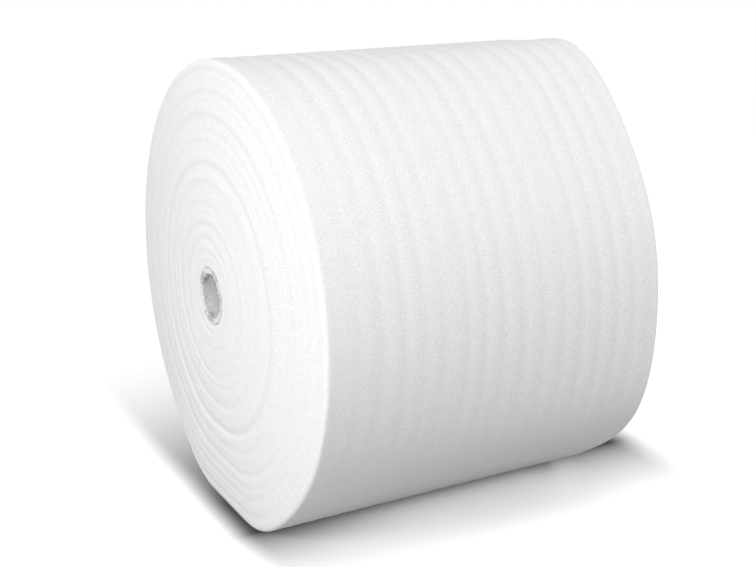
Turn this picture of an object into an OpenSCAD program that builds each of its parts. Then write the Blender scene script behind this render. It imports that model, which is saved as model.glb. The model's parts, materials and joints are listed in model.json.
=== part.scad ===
// Foam wrap roll: one long sheet of white foam wound on a board core, lying on its side.
// Frame: X runs along the core with the domed end at -X, -Y is the front, +Z is up.
// The origin is on the floor, under the middle of the roll.

/* [Roll] */
// Diameter of the wound roll, away from the bottom
roll_d = 780; // [560:10:960]
// Width of the foam sheet, which is also the length of the core tube
sheet_w = 610; // [400:10:900]
// Thickness of the foam sheet, seen as the step at its free edge
sheet_t = 3; // [1:0.5:8]
// How far the windings nearest the core stand out past the rim at the domed end
dome = 20; // [0:1:40]
// Rounding of the two rims
rim_soft = 7; // [3:1:12]

/* [Sag on the floor] */
// How far the roll's own weight has pressed the flat spot in
settle = 3; // [2:0.5:10]
// How far the windings bulge out beside the flat spot
sag_bulge = 12; // [0:1:24]
// Angle between straight down and the middle of that bulge, in degrees
sag_at = 19; // [16:1:34]
// Angle over which that bulge fades out, in degrees
sag_spread = 15; // [10:1:26]

/* [Slack at the dished end] */
// How far the loose windings at the dished end bulge out at the roll's two haunches, low down
haunch_out = 23; // [0:1:34]
// How far they bulge out at its front shoulder, near the top
shoulder_out = 34; // [0:1:40]
// How far they bulge out at its rear shoulder
rear_shoulder_out = 12; // [0:1:40]
// Angle between straight down and the middle of each haunch, in degrees
haunch_at = 58; // [48:1:68]
// Angle between straight down and the middle of each shoulder, in degrees
shoulder_at = 160; // [145:1:166]
// Angle over which a shoulder or a haunch fades out, in degrees
slack_spread = 21; // [16:1:28]
// Angle over which a shoulder fades out towards the top, which stays flatter, in degrees
top_spread = 14; // [12:1:22]

/* [Windings on the ends] */
// Width of a band of windings that shows as one ring on the ends
band_pitch = 33; // [22:1:50]
// Width of the dip between two bands
band_gap = 15; // [8:1:18]
// Depth of the dip between two bands
band_dip = 4; // [1:0.5:8]
// Angle from straight down to the sheet's free edge, behind the roll, in degrees
free_edge_at = 27; // [20:1:60]

/* [Ridges round the roll] */
// Spacing of the ridges across the sheet
ridge_pitch = 36; // [28:1:60]
// Width of the valleys between the ridges
ridge_gap = 20; // [10:1:24]
// Depth of the valleys between the ridges
ridge_dip = 4; // [1:0.5:8]

/* [Core tube] */
// Bore of the core tube
core_bore = 76.2; // [50:0.1:110]
// Wall of the core tube
core_wall = 9; // [4:0.5:14]
// Clearance between the core tube and the first winding
core_fit = 0.3; // [0.1:0.1:0.8]

/* [Hidden] */

roll_r = roll_d / 2;
core_r = core_bore / 2 + core_wall;
// Height of the core's axis over the floor
axis_z = roll_r - settle;
// Ends of the core and of the windings nearest to it
tip_x = -(sheet_w + dome) / 2;
// The rim at the domed end; every winding is one sheet width long
rim_x = tip_x + dome;

// Steps round the roll, and the angle of step i from +Y towards +Z
ROUND = 48;
DOWN = 270;
function at(i) = DOWN + free_edge_at + 360 * i / ROUND;

// An angle brought between -180 and 180, and the angle from straight down, below 0 at the front
function wrapped(a) = (a + 900) % 360 - 180;
function off_down(a) = wrapped(a - DOWN);
function bump(d, spread) = exp(-pow(d / spread, 2));
function sag_out(d) = sag_bulge * (bump(d - sag_at, sag_spread) + bump(d + sag_at, sag_spread));
// Share of a shoulder that is left in a direction; side is -1 at the front and 1 at the rear
function shoulder(d, side) = let (past = side * wrapped(d - side * shoulder_at))
    bump(past, past > 0 ? top_spread : slack_spread);
function slack_out(d) = haunch_out * bump(abs(d) - haunch_at, slack_spread)
    + shoulder_out * shoulder(d, -1) + rear_shoulder_out * shoulder(d, 1);

// Radius of the sagged roll in a direction, before the floor presses its bottom up;
// away is 0 at the domed end and 1 at the dished end
function sagged_r(a, away) = let (d = off_down(a)) roll_r + sag_out(d) + away * slack_out(d);

// Outside radius at step i: the outermost winding gains one sheet thickness in its turn
function outer_r(i, away) = sagged_r(at(i), away) - sheet_t * (1 - i / ROUND);

// Radius of the roll with its bottom pressed up to the floor
function pressed_r(a, away) = let (r = sagged_r(a, away), c = cos(off_down(a)))
    c > 0.5 ? min(r, axis_z / c) : r;

// A point of the roll at step i and radius r, x along the core
function spot(x, i, r) = [x, r * cos(at(i)), axis_z + r * sin(at(i))];

// How far the winding at radius r is pushed out towards -X
function pushed(r) = dome * (1 - pow(max(0, r - core_r) / (roll_r - core_r), 2));

// Each band is a spiral with ROUND points a turn. Three lines run along it: its inner edge,
// its outer edge, and the bottom of the dip before the next band.
spiral_start = core_r + band_pitch / 2;
spiral_turns = floor((roll_r - sheet_t - rim_soft - spiral_start) / band_pitch - 0.2);
edge_n = spiral_turns * ROUND;
dip_n = edge_n - ROUND;
outer_edge = band_pitch - band_gap;
dip_middle = band_pitch - band_gap / 2;

// Radius of a spiral line at its point n; the windings near the rim follow the sag.
// end is 0 at the domed end and 1 at the dished end
function line_r(end, n, from_edge) =
    let (r = spiral_start + band_pitch * n / ROUND + from_edge)
    r + (pressed_r(at(n), end) - roll_r) * pow(r / roll_r, 3);
// The dips differ a little in depth along the spiral
function dip(n) = band_dip * (0.75 + 0.25 * sin(31 * n));

function face_x(end, r) = rim_x + end * sheet_w - pushed(r);
function inward(end) = end == 0 ? 1 : -1;
function line(end, count, from_edge, sunk) = [for (n = [0:count]) let (r = line_r(end, n, from_edge))
    spot(face_x(end, r) + inward(end) * sunk * dip(n), n, r)];
function end_points(end) = concat(
    [for (i = [0:ROUND - 1]) spot(face_x(end, core_r), i, core_bore / 4)],
    line(end, edge_n, 0, 0),
    line(end, dip_n, outer_edge, 0),
    line(end, dip_n, dip_middle, 1));
end_count = len(end_points(0));

// Stations along the barrel, each [distance from the rim at -X, how far the surface dips]
ridges = max(2, round(sheet_w / ridge_pitch));
stations = concat(
    [[0, rim_soft], [rim_soft, 0]],
    [for (k = [1:ridges - 1]) let (x = k * sheet_w / ridges)
        each [[x - ridge_gap / 2, 0], [x, ridge_dip], [x + ridge_gap / 2, 0]]],
    [[sheet_w - rim_soft, 0], [sheet_w, rim_soft]]);
barrel_points = [for (s = stations, i = [0:ROUND]) spot(rim_x + s[0], i, outer_r(i, s[0] / sheet_w) - s[1])];

function quad(a, b, c, d) = [[a, b, c], [a, c, d]];
function fan(path, tip) = [for (k = [0:len(path) - 2]) [path[k], path[k + 1], tip]];
function flip(faces) = [for (f = faces) [f[2], f[1], f[0]]];

// Faces of one end, from the core outwards; hub and rim are the indices of its first
// point round the core and of its first point round the rim
function end_faces(hub, rim) =
    let (turn = ROUND, edge = hub + turn, outer = edge + edge_n + 1, middle = outer + dip_n + 1,
         lines = [edge, outer, middle, edge + turn],
         last = [for (start = lines) start + dip_n])
    concat(
        [for (i = [1:turn - 2]) [hub, hub + i, hub + i + 1]],
        [for (i = [0:turn - 2]) each quad(edge + i, edge + i + 1, hub + i + 1, hub + i)],
        // where the first turn of the spiral starts beside its second
        fan([edge + turn, middle, outer, edge, hub, hub + turn - 1], edge + turn - 1),
        [for (n = [0:dip_n - 1], k = [0:2])
            each quad(lines[k + 1] + n, lines[k + 1] + n + 1, lines[k] + n + 1, lines[k] + n)],
        // where the spiral runs out under the free edge of the sheet
        fan([last[0], last[1], last[2], last[3], rim, rim + 1], last[0] + 1),
        [for (i = [1:turn - 2]) each quad(rim + i, rim + i + 1, last[0] + i + 1, last[0] + i)],
        fan([rim + turn - 1, rim + turn, rim, last[3]], last[0] + turn - 1));

barrel_start = 2 * end_count;
ring = ROUND + 1;
last_ring = barrel_start + (len(stations) - 1) * ring;
barrel_faces = [for (s = [0:len(stations) - 2], i = [0:ROUND])
    let (a = barrel_start + s * ring + i, b = barrel_start + s * ring + (i + 1) % ring)
    each quad(a, a + ring, b + ring, b)];

// The wound sheet before it is trimmed to the floor and bored for its core
module windings() {
    polyhedron(
        points = concat(end_points(0), end_points(1), barrel_points),
        faces = concat(
            end_faces(0, barrel_start),
            flip(end_faces(end_count, last_ring)),
            barrel_faces));
}

// A round bar along X from x0, on the core's axis
module bar(x0, length, r) {
    translate([x0, 0, axis_z]) rotate([0, 90, 0]) cylinder(h = length, r = r, $fn = 96);
}

// Overrun of a cut past what it cuts
over = 20;

module foam_roll() color("whitesmoke") difference() {
    windings();
    bar(tip_x - over, sheet_w + dome + 2 * over, core_r + core_fit);
    translate([tip_x - over, -roll_r, -2 * over])
        cube([sheet_w + dome + 2 * over, roll_d, 2 * over]);
}

module core_tube() color("silver") difference() {
    bar(tip_x, sheet_w, core_r);
    bar(tip_x - over, sheet_w + 2 * over, core_bore / 2);
}

foam_roll();
core_tube();
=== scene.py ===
"""A big roll of white foam wrap on a grey board core, lying on its soft flat spot on a pale floor.

Metres, in the part's own frame: X along the core with the domed end at -X, -Y the front, +Z up.
Angles round the roll are in degrees from +Y (the back) towards +Z (the top).
"""
import json
import math

import bpy
import numpy as np
from mathutils import Euler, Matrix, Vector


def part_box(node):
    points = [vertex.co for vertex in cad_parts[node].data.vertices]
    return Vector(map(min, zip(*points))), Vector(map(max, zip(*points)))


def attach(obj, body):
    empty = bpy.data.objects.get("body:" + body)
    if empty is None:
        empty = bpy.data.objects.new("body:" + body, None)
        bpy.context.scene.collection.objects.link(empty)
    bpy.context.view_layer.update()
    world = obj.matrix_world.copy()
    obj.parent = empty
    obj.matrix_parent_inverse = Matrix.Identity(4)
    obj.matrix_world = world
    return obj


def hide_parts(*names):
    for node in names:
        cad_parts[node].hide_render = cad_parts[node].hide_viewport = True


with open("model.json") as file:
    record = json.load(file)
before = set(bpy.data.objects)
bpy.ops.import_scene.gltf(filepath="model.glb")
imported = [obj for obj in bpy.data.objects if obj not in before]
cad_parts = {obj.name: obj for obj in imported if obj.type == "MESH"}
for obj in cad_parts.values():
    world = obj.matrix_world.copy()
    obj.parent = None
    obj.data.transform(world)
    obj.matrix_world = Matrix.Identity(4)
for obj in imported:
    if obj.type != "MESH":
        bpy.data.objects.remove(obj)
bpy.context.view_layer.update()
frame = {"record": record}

# Sizes that the frame gives
foam_low, foam_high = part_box("foam_roll")
tube_low, tube_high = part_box("core_tube")
MOUNTS = {m["name"]: m for m in frame["record"]["mounts"]}
AXIS_Z = MOUNTS["core_bore"]["pos_m"][2]
BORE_R = MOUNTS["core_bore"]["dims"]["r_mm"] / 1000
CORE_R = tube_high.z - AXIS_Z
TIP_X = tube_low.x
SHEET_W = tube_high.x - tube_low.x
DOME = foam_high.x - foam_low.x - SHEET_W
RIM_X = TIP_X + DOME

# Sizes of the wound sheet
ROLL_R = 0.390
SHEET_T = 0.003
RIM_SOFT = 0.006
CORE_FIT = 0.0003
FACE_R = ROLL_R - RIM_SOFT
FIRST_R = CORE_R + CORE_FIT

# Straight down, and the sheet's free edge behind the roll
DOWN = 270
FREE_EDGE_AT = DOWN + 27

# Bulges of the outside: how far out, at which angle from straight down, and over what angle they fade.
# The sag lies beside the flat spot; the haunches and shoulders are slack windings at the dished end.
SAG_BULGE, SAG_AT, SAG_SPREAD = 0.012, 19, 15
HAUNCH_OUT, HAUNCH_AT = 0.023, 58
SHOULDER_OUT, REAR_SHOULDER_OUT, SHOULDER_AT = 0.034, 0.012, 160
SLACK_SPREAD, TOP_SPREAD = 21, 14
# Rounding at the edges of the flat spot
PRESS_SOFT = 0.004

# Ridges round the barrel, and how much deeper they are near the top
RIDGES = 17
RIDGE_DIP = 0.0011
TOP_RIDGES, TOP_RIDGES_AT, TOP_RIDGES_SPREAD = 1.5, 88, 30

# Mesh steps: columns round the roll, and one spiral line for each winding
ROUND = 256
TURNS = int((FACE_R - FIRST_R) / SHEET_T)
LINE_N = TURNS * ROUND
BARREL_STEPS = 118
BORE_STEPS = 8
RIM_ARC = np.radians([18, 36, 54, 72])

# How far the sheet lifts off at its free edge, and over how many of the last columns
EDGE_LIFT, EDGE_STEPS = 0.0015, 9

# Creases between bands of windings: radius as a share of the roll's, depth and width
CREASES = [
    (0.138, 0.0006, 0.003),
    (0.165, 0.0009, 0.004),
    (0.188, 0.0005, 0.003),
    (0.212, 0.0008, 0.004),
    (0.256, 0.0014, 0.005),
    (0.292, 0.0005, 0.003),
    (0.338, 0.0014, 0.005),
    (0.366, 0.0005, 0.003),
    (0.405, 0.0008, 0.004),
    (0.475, 0.0012, 0.006),
    (0.500, 0.0005, 0.003),
    (0.580, 0.0020, 0.007),
    (0.612, 0.0006, 0.004),
    (0.672, 0.0009, 0.005),
    (0.722, 0.0005, 0.003),
    (0.765, 0.0014, 0.006),
    (0.815, 0.0008, 0.004),
    (0.872, 0.0011, 0.005),
    (0.905, 0.0005, 0.003),
    (0.945, 0.0010, 0.005),
]
# How far a crease strays from its circle, how far the inner ones hang down, how much the band
# outside a crease stands up as a share of the crease's depth, and the relief of single windings
WANDER = 0.007
RING_SAG = 0.005
LIP = 0.35
FINE_RELIEF = 0.00035
NEAR_SEED, FAR_SEED = 100, 300

# Core tube: columns round it, lines across its cut end, rows along its bore
CORE_ROUND = 96
PLY_LINES = 14
BORE_ROWS = 40
# How far every second ply and its waves stand back, and how worn the inner and outer edges are
PLY_STEP, PLY_WAVE = 0.00025, 0.0002
FRAY, FRAY_WIDTH = 0.0012, 0.003
OUTER_WEAR, OUTER_WEAR_WIDTH = 0.0002, 0.002
BORE_WAVE = 0.00015

# Light of the room, and the soft lamps: place, size and power in watts
SKY = 0.60
LAMPS = {
    "key": ((-1.20, -2.15, 0.80), 0.8, 6),
    "side": ((1.90, -1.80, 2.24), 1.2, 24.7),
    "fill": ((-2.13, -0.73, 1.20), 0.6, 24.7),
}

# Floor: half its width, its grey for the light that it throws back, and the depth of the shadow painted into
# the colour it shows
FLOOR_HALF = 40
FLOOR_BOUNCE = 0.38
SHADOW_DEPTH = 0.94
# Where the painted shadow starts and ends along the roll, and how far ahead of the axis it stays darkest
SHADOW_START, SHADOW_END = (-0.365, -0.295), (0.46, 0.56)
CONTACT = 0.12
# How the painted shadow fades ahead of the roll and behind it, each as a reach and a power
AHEAD_NEAR, AHEAD_FAR = (0.125, 0.85), (0.27, 4)
BEHIND = (0.42, 1.285)
# In front of the roll's middle the room's own shading is enough, so this share of the painted shadow is
# spared
SPARED = 0.64
SPARED_X_START, SPARED_X_END = (-0.33, 0.02), (0.21, 0.37)
SPARED_FRONT_START, SPARED_FRONT_END = (0.11, 0.18), (0.19, 0.30)

# Camera: sensor width and lens in millimetres, place, and angles in degrees
SENSOR_W, LENS = 36, 57.002
CAMERA_AT = (-1.0046, -1.8008, 0.9643)
TURNED_RIGHT, TILTED_DOWN = 29.285, 16.230


def smooth_noise(x, seed, period=None):
    """One-dimensional value noise between -1 and 1 with one knot a unit, periodic if period is given."""
    knots = np.random.default_rng(seed).uniform(-1, 1, 4096)
    cell = np.floor(x).astype(int)
    share = x - cell
    share = share * share * (3 - 2 * share)
    wrap = period or 4096
    return knots[cell % wrap] * (1 - share) + knots[(cell + 1) % wrap] * share


def wrapped(a):
    """An angle brought between -180 and 180."""
    return (a + 180) % 360 - 180


def off_down(a):
    """Angle from straight down, below 0 at the front."""
    return wrapped(a - DOWN)


def bump(d, spread):
    """1 at 0, fading out softly on both sides."""
    return np.exp(-(d / spread) ** 2)


def shoulder(d, side):
    """Share of a shoulder that is left in a direction; side is -1 at the front and 1 at the rear."""
    past = side * wrapped(d - side * SHOULDER_AT)
    return bump(past, np.where(past > 0, TOP_SPREAD, SLACK_SPREAD))


def sagged_r(a, away):
    """Outside radius in a direction: the windings bulge out beside the flat spot and, at the
    dished end, at the shoulders and haunches. away is 0 at the domed end and 1 at the dished one."""
    d = off_down(a)
    sag = SAG_BULGE * (bump(d - SAG_AT, SAG_SPREAD) + bump(d + SAG_AT, SAG_SPREAD))
    slack = HAUNCH_OUT * bump(np.abs(d) - HAUNCH_AT, SLACK_SPREAD)
    slack = slack + SHOULDER_OUT * shoulder(d, -1) + REAR_SHOULDER_OUT * shoulder(d, 1)
    return ROLL_R + sag + away * slack


def on_floor(r, a):
    """Radius r with the bottom pressed up to the floor, softly at the flat spot's edges."""
    c = np.cos(np.radians(off_down(a)))
    floor_r = AXIS_Z / np.maximum(c, 0.4)
    gap = np.maximum(PRESS_SOFT - np.abs(r - floor_r), 0)
    soft = np.minimum(r, floor_r) - gap * gap / (4 * PRESS_SOFT)
    return np.where(c > 0.5, soft, r)


def spot(x, a, r):
    """Points at radius r round the core's axis."""
    a = np.radians(a)
    x, a, r = np.broadcast_arrays(x, a, r)
    return np.stack([x, r * np.cos(a), AXIS_Z + r * np.sin(a)], axis=-1)


def pushed(r):
    """How far the winding at radius r stands out towards -X."""
    share = np.clip((r - CORE_R) / (ROLL_R - CORE_R), 0, 1)
    return DOME * (1 - share ** 2)


def end_relief(a, r, turn, seed):
    """How far the end face is sunk at each point by creases and by small shifts of the windings."""
    share = a % 360 / 360
    sunk = np.zeros_like(r)
    for k, (at, depth, width) in enumerate(CREASES):
        line = at * ROLL_R - RING_SAG * np.sin(np.radians(a)) * (1 - at)
        line = line + WANDER * smooth_noise(share * 5, seed + k, 5)
        strength = 0.85 + 0.4 * smooth_noise(share * 4, seed + 40 + k, 4) + 0.35 * np.cos(np.radians(a))
        step = (r - line) / width
        sunk += depth * strength * np.exp(-step ** 2)
        # the band outside a crease stands a little higher than the one inside it
        sunk -= LIP * depth * np.exp(-((step - 1.9) / 1.3) ** 2)
    fine = smooth_noise(turn / 3.1, seed + 80) + 0.6 * smooth_noise(turn / 1.5, seed + 81)
    patch = 0.6 + 0.4 * smooth_noise(share * 7, seed + 82, 7)
    return sunk + FINE_RELIEF * fine * patch


def ridge_dip(x, a):
    """Depth of the barrel's surface at distance x from the rim at -X: soft ridges that run round it."""
    share = a % 360 / 360
    pitch = SHEET_W / RIDGES
    drift = 0.16 * smooth_noise(share * 6, 5, 6) + 0.10 * smooth_noise(share * 14, 6, 14)
    u = x / pitch + drift + 0.12 * smooth_noise(x / pitch * 0.9, 7)
    wave = (0.5 - 0.5 * np.cos(2 * np.pi * u)) ** 2
    level = 0.8 + 0.3 * smooth_noise(u * 0.8 + 30, 8) + 0.2 * smooth_noise(share * 9 + x * 20, 9)
    level = level * (1 + TOP_RIDGES * bump(a % 360 - TOP_RIDGES_AT, TOP_RIDGES_SPREAD))
    near_rims = np.clip(x / 0.10, 0.1, 1) * np.clip((SHEET_W - x) / 0.02, 0.25, 1)
    return RIDGE_DIP * wave * level * near_rims


def line_columns():
    """Angle, bare radius and turn number of every point along the spiral."""
    n = np.arange(LINE_N + 1)
    return FREE_EDGE_AT + 360 * n / ROUND, FIRST_R + (FACE_R - FIRST_R) * n / LINE_N, n / ROUND


def settled(r, a, away):
    """Radius r of a winding once the roll has sagged; the windings near the rim follow it most."""
    outside = on_floor(sagged_r(a, away), a)
    return r + (outside - ROLL_R) * (r / ROLL_R) ** 3


def end_points(far):
    """Points of one end face along the spiral; far is 0 at the domed end and 1 at the dished one."""
    a, r, turn = line_columns()
    sunk = end_relief(a, r, turn, FAR_SEED if far else NEAR_SEED)
    x = RIM_X + far * SHEET_W - pushed(r) + (-sunk if far else sunk)
    return spot(x, a, settled(r, a, far))


def barrel_points():
    """Rows of the barrel from rim to rim, each over the last turn of the spiral: rim arc, ridges, rim arc."""
    a, r, _ = (v[-(ROUND + 1):] for v in line_columns())
    lift = EDGE_LIFT * np.clip((np.arange(ROUND + 1) - ROUND + EDGE_STEPS) / EDGE_STEPS, 0, 1) ** 2
    near_rim = [(RIM_SOFT * (1 - math.cos(step)), RIM_SOFT * math.sin(step)) for step in RIM_ARC]
    between = [(x, RIM_SOFT) for x in np.linspace(RIM_SOFT, SHEET_W - RIM_SOFT, BARREL_STEPS)]
    far_rim = [(SHEET_W - x, out) for x, out in reversed(near_rim)]
    points = []
    for x, out in near_rim + between + far_rim:
        dip = ridge_dip(np.full_like(a, x), a) * (out / RIM_SOFT)
        outside = sagged_r(a, x / SHEET_W) - ROLL_R + r + out - dip
        points.append(spot(RIM_X + x, a, on_floor(outside + lift, a)))
    return np.array(points)


def bore_points():
    """Rows of the wall round the core, from end to end, over the first turn of the spiral."""
    a, r, _ = (v[:ROUND + 1] for v in line_columns())
    near = RIM_X - pushed(r)
    far = RIM_X + SHEET_W - pushed(r)
    shares = np.linspace(0, 1, BORE_STEPS)[1:-1]
    return np.array([spot(near + (far - near) * s, a, settled(r, a, s)) for s in shares])


def new_object(name, points, quads, material, smooth=True):
    mesh = bpy.data.meshes.new(name)
    mesh.from_pydata(points.tolist(), [], [tuple(q) for q in quads])
    mesh.update()
    mesh.polygons.foreach_set("use_smooth", np.full(len(mesh.polygons), smooth))
    mesh.materials.append(material)
    obj = bpy.data.objects.new(name, mesh)
    bpy.context.scene.collection.objects.link(obj)
    return obj


def add_value(obj, name, values):
    """A value at each vertex that the material reads by name."""
    layer = obj.data.attributes.new(name, "FLOAT", "POINT")
    layer.data.foreach_set("value", np.asarray(values, dtype=np.float32))


def strip(lower, upper):
    """Quads between two rows of point indices of the same length."""
    return np.stack([lower[:-1], lower[1:], upper[1:], upper[:-1]], axis=1)


def belt(rows, outside):
    """Quads between each row of point indices and the next, facing away from the axis or towards it.
    Each row closes on its own first point: on the wound sheet, across the step at the spiral's end."""
    closed = [np.append(row, row[0]) for row in rows]
    pairs = zip(closed[1:], closed[:-1]) if outside else zip(closed[:-1], closed[1:])
    return [strip(lower, upper) for lower, upper in pairs]


def build_foam(material):
    """The wound sheet as one closed skin: two spiral end faces, the barrel and the wall round the core."""
    near, far = end_points(0), end_points(1)
    barrel, bore = barrel_points(), bore_points()
    near_n = np.arange(LINE_N + 1)
    far_n = near_n + near_n.size
    barrel_n = far_n[-1] + 1 + np.arange(barrel.size // 3).reshape(barrel.shape[:2])
    bore_n = barrel_n[-1, -1] + 1 + np.arange(bore.size // 3).reshape(bore.shape[:2])

    quads = [strip(near_n[ROUND:], near_n[:-ROUND]), strip(far_n[:-ROUND], far_n[ROUND:])]
    quads += belt([near_n[-(ROUND + 1):], *barrel_n, far_n[-(ROUND + 1):]], outside=True)
    quads += belt([near_n[:ROUND + 1], *bore_n, far_n[:ROUND + 1]], outside=False)
    points = np.concatenate([near, far, barrel.reshape(-1, 3), bore.reshape(-1, 3)])
    foam = new_object("foam_windings", points, np.concatenate(quads), material)

    a, r, turn = line_columns()
    walls = np.zeros(barrel_n.size + bore_n.size)
    on_barrel, on_bore = np.full(barrel_n.size, turn[-1]), np.zeros(bore_n.size)
    add_value(foam, "turn", np.concatenate([turn, turn, on_barrel, on_bore]))
    add_value(foam, "cut_face", np.concatenate([np.ones(2 * near_n.size), walls]))
    # how far each point is sunk, in millimetres; the material paints shade into the creases from it
    sunk = [end_relief(a, r, turn, NEAR_SEED), end_relief(a, r, turn, FAR_SEED), walls]
    add_value(foam, "sunk", np.concatenate(sunk) * 1000)
    return foam


def cut_end(end, a):
    """Rows across one cut end of the tube, from its bore outwards: plies, and a frayed mouth."""
    share = a / 360
    inwards = -1 if end else 1
    rows = []
    for k, r in enumerate(np.linspace(BORE_R, CORE_R, PLY_LINES)):
        inner = np.clip(1 - (r - BORE_R) / FRAY_WIDTH, 0, 1)
        outer = np.clip(1 - (CORE_R - r) / OUTER_WEAR_WIDTH, 0, 1)
        ply = PLY_STEP * (k % 2) + PLY_WAVE * smooth_noise(share * 9, 500 + k + 20 * end, 9)
        fray = FRAY * inner ** 2 * (1 + smooth_noise(share * 23, 540 + end, 23))
        sunk = np.abs(ply) + fray + OUTER_WEAR * outer ** 2
        rows.append(spot(TIP_X + end * SHEET_W + inwards * sunk, a, r))
    return rows


def build_core(material):
    """The board tube: plies on its cut ends, soft mouth edges and a wall with a faint waviness."""
    a = 360 * np.arange(CORE_ROUND) / CORE_ROUND
    wall = np.linspace(FRAY_WIDTH, SHEET_W - FRAY_WIDTH, BORE_ROWS)
    rows = cut_end(0, a)
    rows += [spot(TIP_X + x, a, CORE_R) for x in wall[[0, -1]]]
    rows += cut_end(1, a)[::-1]
    for x in wall[::-1]:
        r = BORE_R + BORE_WAVE * smooth_noise(a / 360 * 8 + x * 30, 560)
        rows.append(spot(TIP_X + x, a, r))
    points = np.array(rows)
    index = np.arange(points.size // 3).reshape(points.shape[:2])
    quads = belt([*index, index[0]], outside=True)
    return new_object("board_core", points.reshape(-1, 3), np.concatenate(quads), material)


def node(tree, kind, **settings):
    made = tree.nodes.new(kind)
    for key, value in settings.items():
        setattr(made, key, value)
    return made


def feed(tree, value, socket):
    """Puts a number, a colour or another node's output into a socket."""
    if isinstance(value, bpy.types.NodeSocket):
        tree.links.new(value, socket)
    else:
        socket.default_value = value


def calc(tree, operation, *values):
    """Arithmetic on sockets and numbers."""
    made = node(tree, "ShaderNodeMath", operation=operation)
    for k, value in enumerate(values):
        feed(tree, value, made.inputs[k])
    return made.outputs[0]


def fade(tree, value, low, high, first=0.0, last=1.0, curve="SMOOTHSTEP"):
    """The first number below low, the last one above high, and a smooth change between."""
    made = node(tree, "ShaderNodeMapRange", interpolation_type=curve)
    made.inputs["From Min"].default_value = low
    made.inputs["From Max"].default_value = high
    made.inputs["To Min"].default_value = first
    made.inputs["To Max"].default_value = last
    tree.links.new(value, made.inputs["Value"])
    return made.outputs["Result"]


def stretch(tree, value, start, end):
    """1 between start and end, 0 outside; both are soft, each a low and a high number."""
    return calc(tree, "MULTIPLY", fade(tree, value, *start), fade(tree, value, *end, first=1.0, last=0.0))


def falling(tree, distance, reach, power):
    """How far a shadow has faded at a distance; it is 1 at its reach."""
    return calc(tree, "POWER", calc(tree, "DIVIDE", distance, reach), power)


def own_place(tree):
    """Coordinates of the object itself."""
    return node(tree, "ShaderNodeTexCoord").outputs["Object"]


def noise(tree, scale, detail):
    """Cloudy noise between 0 and 1."""
    made = node(tree, "ShaderNodeTexNoise")
    made.inputs["Scale"].default_value = scale
    made.inputs["Detail"].default_value = detail
    tree.links.new(own_place(tree), made.inputs["Vector"])
    return made.outputs["Fac"]


def blend(tree, share, first, second):
    """A colour between the first one, at 0, and the second one, at 1."""
    made = node(tree, "ShaderNodeMix", data_type="RGBA")
    feed(tree, share, made.inputs["Factor"])
    feed(tree, first, made.inputs["A"])
    feed(tree, second, made.inputs["B"])
    return made.outputs["Result"]


def relief(tree, height, strength, distance, below=None, invert=False):
    """The surface's direction bent by a height, on top of the relief below it."""
    made = node(tree, "ShaderNodeBump", invert=invert)
    made.inputs["Strength"].default_value = strength
    made.inputs["Distance"].default_value = distance
    tree.links.new(height, made.inputs["Height"])
    if below is not None:
        tree.links.new(below, made.inputs["Normal"])
    return made.outputs["Normal"]


def new_material(name, roughness, specular):
    material = bpy.data.materials.new(name)
    material.use_nodes = True
    shader = material.node_tree.nodes["Principled BSDF"]
    shader.inputs["Roughness"].default_value = roughness
    shader.inputs["Specular IOR Level"].default_value = specular
    return material, material.node_tree, shader


def foam_material():
    """White closed-cell foam: fine cells, faint creases and windings on the cut ends, with shade painted into
    the creases and the seams between windings.
    """
    material, tree, shader = new_material("foam_white", 0.62, 0.25)
    dark_grain, light_grain = (0.790, 0.792, 0.796, 1), (0.962, 0.964, 0.967, 1)
    # painted shade: the grey that creases and seams are darkened towards
    crease_shade_colour = (0.72, 0.725, 0.73, 1)
    cells = node(tree, "ShaderNodeTexVoronoi", feature="SMOOTH_F1")
    cells.inputs["Scale"].default_value = 420
    cells.inputs["Smoothness"].default_value = 0.5
    tree.links.new(own_place(tree), cells.inputs["Vector"])
    grain = noise(tree, 620, 2)
    turn, face, sunk = (node(tree, "ShaderNodeAttribute", attribute_name=name).outputs["Fac"]
                        for name in ("turn", "cut_face", "sunk"))

    # the line between two windings, where the turn number passes a whole number
    seam = fade(tree, calc(tree, "PINGPONG", turn, 0.5), 0, 0.22, first=1.0, last=0.0)
    seam = calc(tree, "MULTIPLY", seam, face)

    # colour: grain lightens and darkens the foam a little; painted shade darkens the seams between windings
    # and the creases, more where a crease is sunk deeper
    contrast = calc(tree, "MULTIPLY_ADD", face, 1.6, 3.3)
    shade = calc(tree, "MULTIPLY_ADD", calc(tree, "SUBTRACT", grain, 0.5), contrast, 0.5)
    colour = blend(tree, shade, dark_grain, light_grain)
    # painted shade: the deeper a point is sunk on the cut ends, the darker its colour
    crease_shade_share = fade(tree, sunk, 0, 2, last=0.45, curve="LINEAR")
    painted_shade = calc(tree, "MULTIPLY_ADD", seam, 0.18, crease_shade_share)
    feed(tree, blend(tree, painted_shade, colour, crease_shade_colour), shader.inputs["Base Color"])

    # relief: cells, and the seams between windings
    surface = relief(tree, cells.outputs["Distance"], 0.35, 0.0006)
    surface = relief(tree, seam, 0.4, 0.0006, below=surface, invert=True)
    feed(tree, surface, shader.inputs["Normal"])
    return material


def board_material():
    """Grey wound board: fibres all over, darker stains in patches, and small pale flecks scattered over it.
    """
    material, tree, shader = new_material("grey_board", 0.8, 0.2)
    dark_fibre, light_fibre = (0.62, 0.62, 0.62, 1), (0.88, 0.88, 0.88, 1)
    stain, fleck = (0.50, 0.50, 0.51, 1), (0.97, 0.97, 0.97, 1)
    fibre = noise(tree, 260, 6)
    colour = blend(tree, fibre, dark_fibre, light_fibre)
    colour = blend(tree, fade(tree, noise(tree, 45, 3), 0.48, 0.62), colour, stain)
    colour = blend(tree, fade(tree, noise(tree, 130, 4), 0.60, 0.64), colour, fleck)
    feed(tree, colour, shader.inputs["Base Color"])
    feed(tree, relief(tree, fibre, 0.5, 0.0005), shader.inputs["Normal"])
    return material


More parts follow.
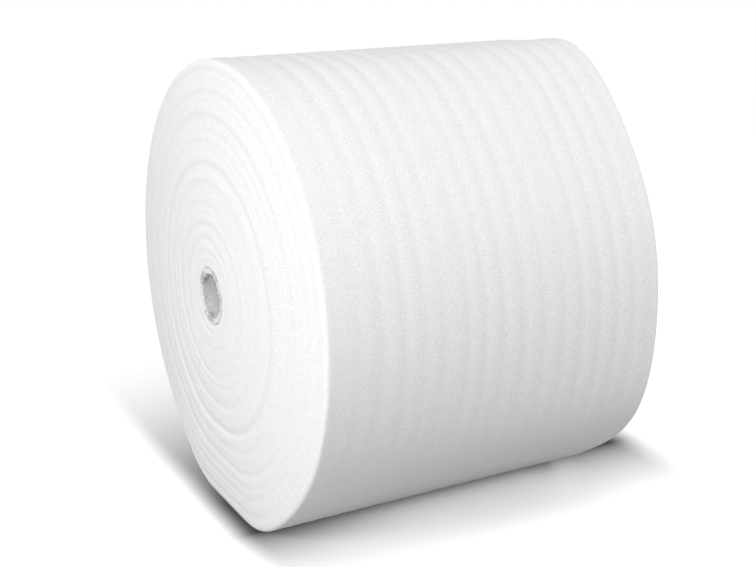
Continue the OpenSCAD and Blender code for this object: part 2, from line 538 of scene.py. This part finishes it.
def seen_directly(tree):
    """1 for what the camera sees directly, in a mirror or through glass, otherwise 0."""
    path = node(tree, "ShaderNodeLightPath")
    some = node(tree, "ShaderNodeMath", operation="ADD", use_clamp=True)
    total = node(tree, "ShaderNodeMath", operation="ADD", use_clamp=True)
    tree.links.new(path.outputs["Is Camera Ray"], some.inputs[0])
    tree.links.new(path.outputs["Is Glossy Ray"], some.inputs[1])
    tree.links.new(some.outputs[0], total.inputs[0])
    tree.links.new(path.outputs["Is Transmission Ray"], total.inputs[1])
    return total.outputs[0]


def painted_floor_shadow(tree):
    """The floor's colour with a painted shadow, 1 for white: darkest along the contact with the roll."""
    split = node(tree, "ShaderNodeSeparateXYZ")
    tree.links.new(own_place(tree), split.inputs[0])
    x, y = split.outputs["X"], split.outputs["Y"]
    front = calc(tree, "MULTIPLY", y, -1)
    along = stretch(tree, x, SHADOW_START, SHADOW_END)
    ahead = calc(tree, "MAXIMUM", calc(tree, "SUBTRACT", front, CONTACT), 0)
    ahead = calc(tree, "ADD", falling(tree, ahead, *AHEAD_NEAR), falling(tree, ahead, *AHEAD_FAR))
    behind = falling(tree, calc(tree, "MAXIMUM", y, 0), *BEHIND)
    across = calc(tree, "EXPONENT", calc(tree, "MULTIPLY", calc(tree, "ADD", ahead, behind), -1))
    beside = stretch(tree, x, SPARED_X_START, SPARED_X_END)
    below = stretch(tree, front, SPARED_FRONT_START, SPARED_FRONT_END)
    spared = calc(tree, "MULTIPLY", SPARED, calc(tree, "MULTIPLY", beside, below))
    depth = calc(tree, "MULTIPLY", SHADOW_DEPTH, calc(tree, "SUBTRACT", 1, spared))
    return calc(tree, "SUBTRACT", 1, calc(tree, "MULTIPLY", depth, calc(tree, "MULTIPLY", along, across)))


def build_floor():
    """A wide white floor that keeps the roll's real shadow and shows a painted shadow as well, darkest along
    the contact.
    """
    material = bpy.data.materials.new("white_floor")
    material.use_nodes = True
    tree = material.node_tree
    link = tree.links.new
    tree.nodes.remove(tree.nodes["Principled BSDF"])
    lit = node(tree, "ShaderNodeBsdfDiffuse")
    lit.inputs["Color"].default_value = (FLOOR_BOUNCE, FLOOR_BOUNCE, FLOOR_BOUNCE, 1)
    # painted shadow: the floor's seen colour is darkened by place round the roll
    painted_shadow_tone = painted_floor_shadow(tree)
    shown = node(tree, "ShaderNodeBsdfDiffuse")
    link(painted_shadow_tone, shown.inputs["Color"])
    # the room's light falls short of white, and this makes up for it where the floor is seen
    glow = node(tree, "ShaderNodeEmission")
    glow.inputs["Strength"].default_value = 1 - SKY
    link(painted_shadow_tone, glow.inputs["Color"])
    both = node(tree, "ShaderNodeAddShader")
    link(shown.outputs[0], both.inputs[0])
    link(glow.outputs[0], both.inputs[1])
    mix = node(tree, "ShaderNodeMixShader")
    link(seen_directly(tree), mix.inputs["Fac"])
    link(lit.outputs[0], mix.inputs[1])
    link(both.outputs[0], mix.inputs[2])
    link(mix.outputs[0], tree.nodes["Material Output"].inputs["Surface"])
    corners = FLOOR_HALF * np.array([[-1, -1, 0], [1, -1, 0], [1, 1, 0], [-1, 1, 0]], float)
    floor = new_object("floor", corners, [(0, 1, 2, 3)], material, smooth=False)


def add_lamp(name, place, size, watts):
    """A square soft lamp that faces the roll's axis."""
    light = bpy.data.lights.new(name, "AREA")
    light.size = size
    light.energy = watts
    lamp = bpy.data.objects.new(name, light)
    lamp.location = place
    aim = np.array([0, 0, AXIS_Z]) - np.array(place)
    yaw = math.atan2(aim[1], aim[0])
    down = math.atan2(-aim[2], math.hypot(aim[0], aim[1]))
    lamp.rotation_euler = Euler((math.pi / 2 - down, 0, yaw - math.pi / 2))
    bpy.context.scene.collection.objects.link(lamp)


def build_light():
    """An even white room with three soft lamps: at the front left, the front right and the left."""
    world = bpy.data.worlds.new("studio")
    bpy.context.scene.world = world
    world.use_nodes = True
    tree = world.node_tree
    sky = tree.nodes["Background"]
    sky.inputs["Color"].default_value = (1, 1, 1, 1)
    sky.inputs["Strength"].default_value = SKY
    seen = node(tree, "ShaderNodeBackground")
    seen.inputs["Color"].default_value = (1, 1, 1, 1)
    seen.inputs["Strength"].default_value = 1.0
    mix = node(tree, "ShaderNodeMixShader")
    tree.links.new(seen_directly(tree), mix.inputs["Fac"])
    tree.links.new(sky.outputs[0], mix.inputs[1])
    tree.links.new(seen.outputs[0], mix.inputs[2])
    tree.links.new(mix.outputs[0], tree.nodes["World Output"].inputs["Surface"])
    for name, (place, size, watts) in LAMPS.items():
        add_lamp(name, place, size, watts)


def build_camera():
    """A camera at the photograph's viewing angle, level with the floor."""
    data = bpy.data.cameras.new("camera")
    data.sensor_width = SENSOR_W
    data.lens = LENS
    camera = bpy.data.objects.new("camera", data)
    camera.location = CAMERA_AT
    camera.rotation_euler = Euler((math.radians(90 - TILTED_DOWN), 0, math.radians(-TURNED_RIGHT)))
    bpy.context.scene.collection.objects.link(camera)
    bpy.context.scene.camera = camera


bpy.context.scene.view_settings.view_transform = "Standard"
build_camera()
build_light()
build_floor()

foam = build_foam(foam_material())
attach(foam, "root")
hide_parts("foam_roll")

core = build_core(board_material())
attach(core, "root")
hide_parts("core_tube")
